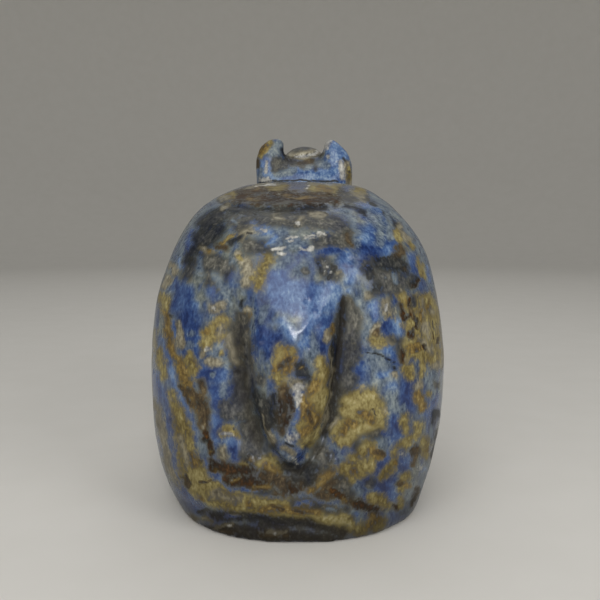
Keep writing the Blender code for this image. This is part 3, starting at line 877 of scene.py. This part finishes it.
hiddenPatches = {  # mineral: size of its patches in mm, level above which it shows, mm of depth for each unit
    "blue": (14, -0.16, 8),
    "light": (10, 0.08, 7),
    "deep": (9, 0.16, 7),
    "slate": (8, 0.2, 6),
    "tan": (9, 0.32, 6),
    "grey": (13, 0.3, 6),
    "ochre": (13, 0.28, 7),
    "gold": (9, 0.42, 6),
    "brown": (9, 0.46, 6),
    "dark": (12, 0.5, 6),
}

patchNoise = {
    "flatten": 0.7,  # heights count for less, so that a patch stands a little taller than it is wide
    "shift": (17.3, -9.1, 5.7),  # from the noise of one mineral to that of the next
    "twist": 0.5,
    "twistScale": 1.3,
    "roughness": 0.8,
    "octaveStep": 2.1,
    "octaves": 4,
}

hiddenLayers = {  # mineral: height of its sloping layer in mm, half its thickness, waviness
    "ochre": (28.5, 3, 5),
    "rust": (35.5, 0.9, 6),
    "dark": (22.5, 0.9, 5),
}
layerSlope = (0.4, -0.35, 0.85)
layerWaves = ((16, 1, (3, 8, 1)), (4, 0.35, (1, 2, 5)))  # mm across, share and place
layerSwell = (0.6, 1.6)  # share of the thickness that is even, and the share that the waves give

paintReach = {
    "rumpFacing": (0.0, 0.09),  # facing to the eye over which the rump's strokes come in
    "rumpEnds": (0, 5),  # mm ahead over which they go out
    "headFacing": (0.0, 0.12),
    "headBegins": ((12, 15), (66, 69)),  # mm ahead and up over which the head's strokes come in
    "rumpSharpness": 1.0,
    "headSharpness": 2.0,  # its strokes are small, so their borders are narrower
    "leastDepth": 0.9,  # mm that the middle of a thin stroke counts as deep
}
paintFray = ((3.2, 0.6), (1.3, 0.34))  # mm: size and reach of the waves that fray the strokes' borders
frayPlace = (4, 1, 7)
deepest = 3.0  # mm, limit of every depth
noiseSeed = 11  # of the patches, the layers and the frayed borders
hollowPasses = 50  # that even the surface out before it is compared with itself


# Lays one mineral over the others: they end where it begins, but light and deep spots stay blue.
def layOver(laid, mineral, inside):
    for other in minerals:
        if other == mineral or (other == "blue" and mineral in ("deep", "light")):
            laid[other] = np.maximum(laid[other], inside)
        else:
            laid[other] = np.minimum(laid[other], -inside)


def noiseAt(points, size, place):
    values = np.empty((len(points), 3))
    for i, point in enumerate(points.tolist()):
        values[i] = noise.noise_vector(Vector(point) / size + Vector(place))
    return values


def patchesAt(points, size, place):
    form = patchNoise
    values = np.empty(len(points))
    for i, (x, y, z) in enumerate(points.tolist()):
        spot = Vector((x, y, form["flatten"] * z)) / size + Vector(place)
        spot += form["twist"] * noise.noise_vector(form["twistScale"] * spot)
        values[i] = noise.fractal(spot, form["roughness"], form["octaveStep"], form["octaves"])
    return values


# Depth of every point inside each mineral's strokes.
def strokesAt(points, across, down, paint, sharpness):
    pixelSize = photoView["pixelSize"]
    for size, reach in paintFray:
        fray = noiseAt(points, size, frayPlace) * reach / sharpness / pixelSize
        across, down = across + fray[:, 0], down - fray[:, 2]
    laid = {mineral: np.full(len(points), -deepest) for mineral in minerals}
    for row in paint.strip().splitlines():
        mineral, strokes = row.split(" ", 1)
        for numbers in strokes.split(","):
            stroke = np.array(numbers.split(), float).reshape(-1, 3)
            steepness = max(sharpness, paintReach["leastDepth"] / (pixelSize * stroke[:, 2].max()))
            layOver(laid, mineral, pixelSize * insideStroke(across, down, stroke) * steepness)
    return laid


# Depth of every point inside each mineral, in mm, below nought outside it.
def lieOfMinerals(points, normals):
    noise.seed_set(noiseSeed)
    depths = {mineral: np.full(len(points), -deepest) for mineral in minerals}
    for row, (mineral, (size, level, steepness)) in enumerate(hiddenPatches.items()):
        values = patchesAt(points, size, [row * part for part in patchNoise["shift"]])
        layOver(depths, mineral, (values - level) * steepness)
    waves = sum(share * noiseAt(points, size, place) for size, share, place in layerWaves)
    height = points @ np.array(layerSlope)
    evenShare, waveShare = layerSwell
    for row, (mineral, (level, half, waviness)) in enumerate(hiddenLayers.items()):
        thin = half * (evenShare + waveShare * waves[:, (row + 1) % 3])
        layOver(depths, mineral, thin - np.abs(height - level + waviness * waves[:, row]))
    across, down = pixelOf(points)
    turned = facing(points, normals)
    onRump = smoothStep(*paintReach["rumpFacing"], turned)
    onRump *= 1 - smoothStep(*paintReach["rumpEnds"], points[:, 1])
    onHead = smoothStep(*paintReach["headFacing"], turned) * shareOfHead(points, paintReach["headBegins"])
    for paint, share, part in ((rumpPaint, onRump, "rump"), (headPaint, onHead, "head")):
        near = np.nonzero(share > 0)[0]
        laid = strokesAt(points[near], across[near], down[near], paint, paintReach[part + "Sharpness"])
        for mineral in minerals:
            mixed = depths[mineral][near] * (1 - share[near]) + laid[mineral] * share[near]
            depths[mineral][near] = mixed
    return {mineral: np.clip(depth, -deepest, deepest) for mineral, depth in depths.items()}


# How deep each point lies in a hollow, in mm, and below nought on an edge that stands out.
def hollows(mesh, points, normals):
    edges = np.empty(len(mesh.edges) * 2, int)
    mesh.edges.foreach_get("vertices", edges)
    a, b = edges.reshape(-1, 2).T
    ends, others = np.concatenate((a, b)), np.concatenate((b, a))
    count = np.bincount(ends, minlength=len(points))
    even = points.copy()
    for _ in range(hollowPasses):
        near = np.stack([np.bincount(ends, even[others, k], len(points)) for k in range(3)], axis=1)
        even = 0.5 * even + 0.5 * near / count[:, None]
    return ((even - points) * normals).sum(axis=1)


def writeAttributes(stone):
    mesh = stone.data
    points, normals = pointsOf(mesh), normalsOf(mesh)
    fields = {name + "Depth": depth for name, depth in lieOfMinerals(points, normals).items()}
    fields["hollow"] = hollows(mesh, points, normals)
    for name, values in fields.items():
        mesh.attributes.new(name, "FLOAT", "POINT").data.foreach_set("value", values.astype(np.float32))


stoneLook = {
    "ior": 1.46,
    "blue": "#142550 #213868 #344e7c #4e6a93 #778eaa",
    "haze": "#2b3134 #404748 #565c5b #6f746e #8d9086",
    "fringe": "#5f5c4c",
    "slate": "#3b4550 #505b65 #65707a #7b8589 #969c98",
    "tan": "#4e4839 #6a6351 #837c68 #9a937d #b5af9c",
    "ochre": "#524626 #6b5e36 #81754a #958a5b #aca27a",
    "gold": "#3a2c16 #564522 #715d32 #8b7745 #a49266",
    "brown": "#18120a #2a2115 #413424 #594b34 #75684d",
    "grey": "#21201c #31302b #43413b #58554d #747066",
    "dark": "#0c0c0c #161615 #222221 #343331 #53514b",
    "rust": "#0d0703 #1b1007 #2d1b0b #452a10 #68471c",
    "pale": "#757470 #8d8b85 #a5a39b #bcbab2 #d4d2cb",
    "grimeAndPaintedShade": "#211b10",
    "frayed": 3.6,  # mm that a vein's border moves between the clouds' darkest and lightest
    "border": (-0.84, 0.48),  # mm deep over which a mineral comes in
    "heart": (-0.4, 1.6),  # mm deep over which its tone rises
    "veins": {  # what lies on the blue: the share that it covers, and its roughness
        "slate": (0.75, 0.32), "tan": (0.85, 0.38), "ochre": (0.95, 0.38), "gold": (0.9, 0.38),
        "brown": (0.9, 0.42), "grey": (0.85, 0.42), "dark": (0.9, 0.38), "rust": (0.9, 0.48),
        "pale": (0.85, 0.5),
    },
    "blueRoughness": 0.22,
    "blueShine": 0.5,  # specular level
    "warmShine": 0.08,
    "grainLean": 15,  # degrees that the cloudy grain leans from upright
    "grainStretch": 1.5,
    "clouds": {  # mm across, detail, twist, and shares in the colour's tone, the bump and the frayed borders
        "wide": (6.5, 3, 0.5, 0.5, 0, 0),
        "middle": (2.4, 3, 0.3, 0.5, 0.4, 0.3),
        "fine": (1, 2, 0, 0.5, 0.6, 0.4),
        "grain": (0.5, 1, 0, 0.3, 0.25, 0.3),
    },
    "cloudRoughness": 0.5,
    "blueMiddle": -0.40,  # moves the tone to the middle of the shades
    "veinMiddle": -0.52,
    "spotTone": 0.19,  # what a light spot adds to the tone and a deep one takes
    "heartTone": 0.2,  # what the heart of a vein or patch adds
    "shadeEnds": (0.18, 0.82),
    "rises": {  # from and to, in mm but for the clouded haze, and the share at both ends
        "light": (-1.6, 1.2, 0, 1),
        "deep": (-1.8, 1.4, 0, 1),
        "between": (-1, 0.8, 1, 0.1),
        "clouded": (0.38, 0.6, 0.25, 1),
        "fringe": (-1.3, 0.2, 0, 0.75),
        "grimeAndPaintedShade": (0.02, 0.25, 0, 0.55),
        # Painted shade: the next two darken the stone with the grime colour towards the bottom, strongly
        # below 4 to 12 mm and faintly up to 38 mm.
        "paintedFootShade": (4, 12, 0.7, 0),
        "paintedLowShade": (9, 38, 0.32, 0),
    },
    "frays": {"fringe": 2, "grimeAndPaintedShade": 0.08, "paintedFootShade": 5, "paintedLowShade": 9},  # mm that the clouds sway them by
    "grimeDulls": 0.15,  # roughness that it adds
    "cloudsDull": 0.1,
    "bumpStrength": 0.35,
    "bumpHeight": 0.08,  # mm
}


# Sodalite with ochre, rust and grey veins, shaped by grinding and polished by hand: a cool blue ground in
# soft clouds, warm patches with ragged borders, and a low gloss that is duller on the softer minerals.
def handPolishedSodalite():
    material = bpy.data.materials.new("hand-polished sodalite")
    material.use_nodes = True
    tree = material.node_tree
    shader = tree.nodes["Principled BSDF"]
    look = stoneLook
    spot = addNode(tree, "ShaderNodeTexCoord").outputs["Object"]
    lean = (0.0, math.radians(look["grainLean"]), 0.0)
    reach = (1 / mm, 1 / mm, 1 / mm / look["grainStretch"])
    inMm = addNode(tree, "ShaderNodeMapping", {"Vector": spot, "Rotation": lean, "Scale": reach})

    def evenly(clouds, reach):  # the clouds' pair for sums, and the one that centres them on nought
        return (clouds, reach), (1.0, -reach / 2)

    def sums(*terms):  # adds up pairs of a value and its weight
        total = 0.0
        for value, weight in terms:
            wanted = {0: value, 1: weight, 2: total}
            total = addNode(tree, "ShaderNodeMath", wanted, operation="MULTIPLY_ADD")
        return total

    clouds, inTone, inBump, inBorder = [], [], [], []
    for size, detail, twist, toneShare, bumpShare, borderShare in look["clouds"].values():
        wanted = {"Vector": inMm, "Scale": 1 / size, "Detail": detail, "Distortion": twist}
        wanted["Roughness"] = look["cloudRoughness"]
        clouds.append(addNode(tree, "ShaderNodeTexNoise", wanted))
        inTone.append((clouds[-1], toneShare))
        inBump.append((clouds[-1], bumpShare))
        inBorder.append((clouds[-1], borderShare))
    wide, middle, fine, _ = clouds
    ragged = sums(*inBorder, (1.0, -0.5))  # about nought, since the shares add up to 1
    read = {name: addNode(tree, "ShaderNodeAttribute", attribute_name=name).outputs["Fac"]
            for name in [mineral + "Depth" for mineral in minerals] + ["hollow"]}
    warm = read["ochreDepth"]
    for mineral in ("gold", "brown", "rust", "tan"):
        pair = {0: warm, 1: read[mineral + "Depth"]}
        warm = addNode(tree, "ShaderNodeMath", pair, operation="MAXIMUM")
    height = (addNode(tree, "ShaderNodeSeparateXYZ", {0: spot}).outputs[2], 1 / mm)
    frays = look["frays"]
    share = {
        "light": read["lightDepth"],
        "deep": read["deepDepth"],
        "between": read["blueDepth"],
        "clouded": sums((wide, 0.5), (middle, 0.5)),
        "fringe": sums((ragged, frays["fringe"]), (warm, 1.0)),
        "grimeAndPaintedShade": sums((read["hollow"], 1.0), *evenly(fine, frays["grimeAndPaintedShade"])),
        "paintedFootShade": sums(height, (middle, frays["paintedFootShade"])),
        "paintedLowShade": sums(height, (wide, frays["paintedLowShade"])),
    }
    for name, value in share.items():
        wanted = {0: value, **dict(enumerate(look["rises"][name], 1))}
        share[name] = addNode(tree, "ShaderNodeMapRange", wanted, **eased)
    pair = {0: share["between"], 1: share["clouded"]}
    share["haze"] = addNode(tree, "ShaderNodeMath", pair, operation="MULTIPLY")
    # The painted shade towards the bottom joins the grime of the hollows.
    for name in ("paintedFootShade", "paintedLowShade"):
        pair = {0: share["grimeAndPaintedShade"], 1: share[name]}
        share["grimeAndPaintedShade"] = addNode(tree, "ShaderNodeMath", pair, operation="MAXIMUM")

    spots = (share["light"], look["spotTone"]), (share["deep"], -look["spotTone"])
    tone = dict.fromkeys(("blue", "haze"), sums(*inTone, *spots, (1.0, look["blueMiddle"])))
    borderStart, borderEnd = look["border"]
    heartStart, heartEnd = look["heart"]
    for mineral, (cover, _) in look["veins"].items():
        edge = sums((ragged, look["frayed"]), (read[mineral + "Depth"], 1.0))
        wanted = {0: edge, 1: borderStart, 2: borderEnd, 4: cover}
        share[mineral] = addNode(tree, "ShaderNodeMapRange", wanted, **eased)
        wanted = {0: edge, 1: heartStart, 2: heartEnd}
        heart = addNode(tree, "ShaderNodeMapRange", wanted, **eased)
        tone[mineral] = sums(*inTone, (heart, look["heartTone"]), (1.0, look["veinMiddle"]))
    coat = {"fringe": linear(look["fringe"]), "grimeAndPaintedShade": linear(look["grimeAndPaintedShade"])}
    low, high = look["shadeEnds"]
    for name, place in tone.items():
        ramp = addNode(tree, "ShaderNodeValToRGB", {0: place})
        stops, colours = ramp.color_ramp.elements, look[name].split()
        stops[0].position, stops[1].position = low, high
        for i in range(1, len(colours) - 1):
            stops.new(low + (high - low) * i / (len(colours) - 1))
        for stop, colour in zip(stops, colours):
            stop.color = linear(colour)
        coat[name] = ramp

    colour, rough, shine = coat["blue"], look["blueRoughness"], look["blueShine"]
    for name in ("haze", "fringe", *look["veins"], "grimeAndPaintedShade"):
        wanted = {0: share[name], 6: colour, 7: coat[name]}
        colour = addNode(tree, "ShaderNodeMix", wanted, data_type="RGBA").outputs[2]
        if name in look["veins"]:
            wanted = {0: share[name], 2: rough, 3: look["veins"][name][1]}
            rough = addNode(tree, "ShaderNodeMix", wanted)
            wanted = {0: share[name], 2: shine, 3: look["warmShine"]}
            shine = addNode(tree, "ShaderNodeMix", wanted)
    dirt = (share["grimeAndPaintedShade"], look["grimeDulls"])
    gloss = sums((rough, 1.0), dirt, *evenly(fine, look["cloudsDull"]))
    wanted = {"Height": sums(*inBump), "Strength": look["bumpStrength"], "Distance": look["bumpHeight"] * mm}
    bump = addNode(tree, "ShaderNodeBump", wanted)
    feed(tree, shader, {"Base Color": colour, "Roughness": gloss, "Specular IOR Level": shine})
    feed(tree, shader, {"Normal": bump, "Metallic": 0.0, "IOR": look["ior"]})
    return material


stoneMaterial = handPolishedSodalite()
stone = skinOfStone()
print("stage 2: skin of the stone,", len(stone.data.vertices), "points")
carveFine(stone)
grindByHand(stone, stoneMaterial)
putPoints(stone.data, pointsOf(stone.data))
stone.data.shade_smooth()
stone.data.calc_loop_triangles()
print("stage 3: carved and ground,", len(stone.data.loop_triangles), "triangles")
writeAttributes(stone)
print("stage 4: minerals laid")

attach(stone, "root")
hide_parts("conopa")

studio = {
    "floorReach": 900.0,  # mm from the middle to where the floor begins to curve up
    "coveReach": 500.0,  # mm, radius of that curve
    "coveHeight": 1000.0,
    "coveSteps": 12,
    "coveParts": 96,
    "floorDrop": 0.02,  # mm that the floor lies below the feet
    "boardColours": ("#d0cdc6", "#d6d3cd"),
    "boardGrain": 16.7,  # mm
    "boardRoughness": 0.7,
    "aim": (0.0, 0.0, 42.0),  # mm, where the lights point
    "skyColour": "#e0e4e4",
    "skyStrength": 0.12,
    "lights": {  # place in mm, width and height in mm, power in W
        "key softbox": ((-130, -520, 500), 520, 420, 1.62),
        "right softbox": ((420, -420, 340), 300, 300, 1.0),
        "left softbox": ((-430, -400, 320), 260, 260, 0.3),
        "overhead softbox": ((0, 250, 1300), 1300, 1300, 4.5),
        "small lamp": ((30, -560, 238), 150, 100, 1.15),
        "front softbox": ((0, 560, 700), 600, 600, 0.5),
    },
}


# Painted board with a matt finish: pale, and almost even.
def mattPaintedBoard():
    material = bpy.data.materials.new("matt painted board")
    material.use_nodes = True
    tree = material.node_tree
    shader = tree.nodes["Principled BSDF"]
    spot = addNode(tree, "ShaderNodeTexCoord").outputs["Object"]
    wanted = {"Vector": spot, "Scale": 1 / (studio["boardGrain"] * mm), "Detail": 3.0}
    grain = addNode(tree, "ShaderNodeTexNoise", wanted)
    ramp = addNode(tree, "ShaderNodeValToRGB", {0: grain})
    for stop, colour in zip(ramp.color_ramp.elements, studio["boardColours"]):
        stop.color = linear(colour)
    feed(tree, shader, {"Base Color": ramp, "Roughness": studio["boardRoughness"]})
    return material


# A round floor that curves up on all sides, so that no horizon shows.
def layFloor():
    reach, bend, under = studio["floorReach"], studio["coveReach"], -studio["floorDrop"]
    outline = [(reach, under)]
    for i in range(1, studio["coveSteps"] + 1):
        turn = math.radians(90 * i / studio["coveSteps"])
        outline.append((reach + bend * math.sin(turn), under + bend * (1 - math.cos(turn))))
    outline.append((reach + bend, studio["coveHeight"]))
    count = studio["coveParts"]
    points = [(0, 0, under * mm)]
    for radius, height in outline:
        for i in range(count):
            turn = 2 * math.pi * i / count
            points.append((radius * mm * math.cos(turn), radius * mm * math.sin(turn), height * mm))
    faces = [(0, 1 + i, 1 + (i + 1) % count) for i in range(count)]
    for ring in range(len(outline) - 1):
        for i in range(count):
            a, b = 1 + ring * count + i, 1 + ring * count + (i + 1) % count
            faces.append((a, a + count, b + count, b))
    mesh = bpy.data.meshes.new("floor")
    mesh.from_pydata(points, [], faces)
    mesh.shade_smooth()
    mesh.materials.append(mattPaintedBoard())
    floor = newObject("floor", mesh)


def hangLights():
    for name, (place, width, height, power) in studio["lights"].items():
        lamp = bpy.data.lights.new(name, "AREA")
        lamp.shape = "RECTANGLE"
        lamp.size, lamp.size_y = width * mm, height * mm
        lamp.energy = power
        holder = newObject(name, lamp)
        holder.location = Vector(place) * mm
        way = Vector(studio["aim"]) * mm - holder.location
        holder.rotation_euler = way.to_track_quat("-Z", "Y").to_euler()
    world = bpy.data.worlds.new("studio")
    world.use_nodes = True
    sky = world.node_tree.nodes["Background"]
    feed(world.node_tree, sky, {"Color": linear(studio["skyColour"]), "Strength": studio["skyStrength"]})
    bpy.context.scene.world = world


# The photograph's own view, a few degrees down.
def setCamera():
    lens = bpy.data.cameras.new("camera")
    lens.lens = lens.sensor_width * photoView["focalLength"] / photoView["frame"]
    camera = newObject("camera", lens)
    camera.location = Vector(photoView["eye"]) * mm
    camera.rotation_euler = (math.pi / 2 - photoView["lookDown"], 0, 0)
    bpy.context.scene.camera = camera


layFloor()
hangLights()
setCamera()
bpy.context.scene.view_settings.view_transform = "Standard"
print("stage 5: floor, lights and camera")
